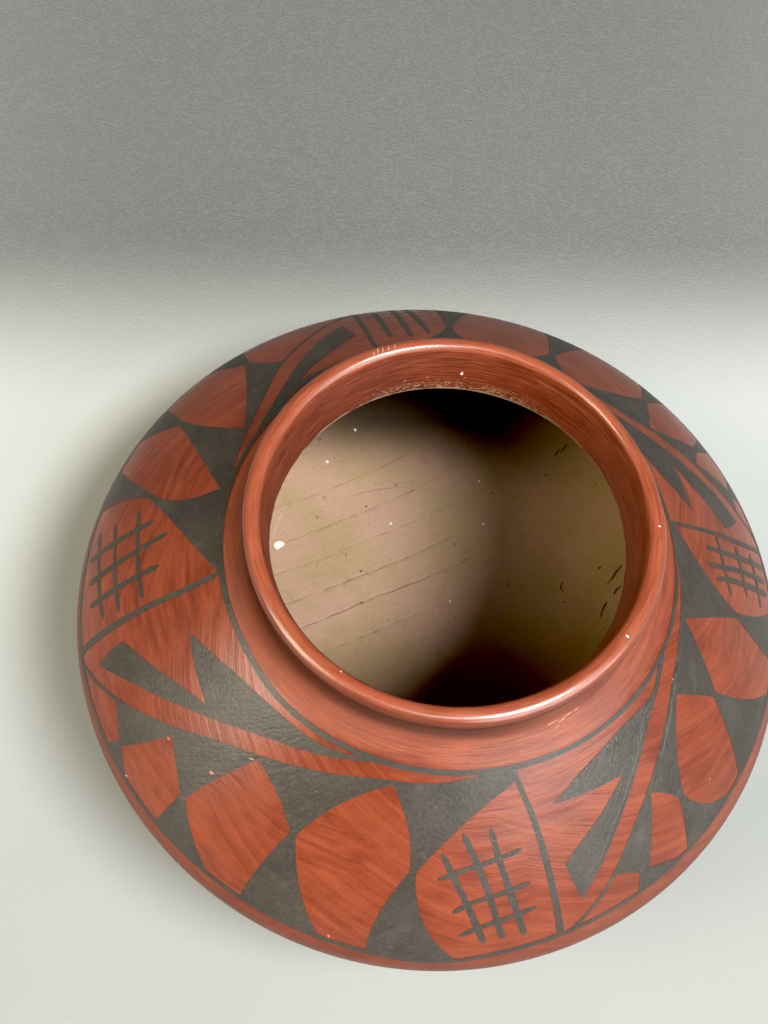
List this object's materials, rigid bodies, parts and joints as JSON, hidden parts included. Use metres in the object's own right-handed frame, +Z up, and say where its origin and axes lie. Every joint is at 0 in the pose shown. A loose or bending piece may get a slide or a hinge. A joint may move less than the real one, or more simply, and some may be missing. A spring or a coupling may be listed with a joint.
{
  "type": "pottery vase",
  "caption": "Squat hand-built earthenware jar with a broad shoulder, short neck and rolled lip, red-slipped and painted outside, bare clay inside, for holding water, grain or stems.",
  "frame": {"origin": "on the table plane, at the middle of the flat foot", "axes": "+Z up along the jar's axis; the shoulder painting is seen from the -Y side in the picture"},
  "size_m": [0.25, 0.25, 0.1508],
  "materials": {
    "red_slip": "burnished iron-red slip with a soft sheen",
    "bare_clay": "scraped, unslipped buff clay, matte",
    "black_paint": "thin fired-on dark paint, matte"
  },
  "bodies": {
    "root": {"base_bowl": "bare_clay", "lower_coil_1": "red_slip", "lower_coil_2": "red_slip", "lower_coil_3": "red_slip", "lower_coil_4": "red_slip", "lower_coil_5": "red_slip", "shoulder_coil_1": "red_slip", "shoulder_coil_2": "red_slip", "shoulder_coil_3": "red_slip", "shoulder_coil_4": "red_slip", "shoulder_coil_5": "red_slip", "throat_coil": "red_slip", "neck_coil": "red_slip", "rim_coil": "red_slip"}
  },
  "joints": []
}
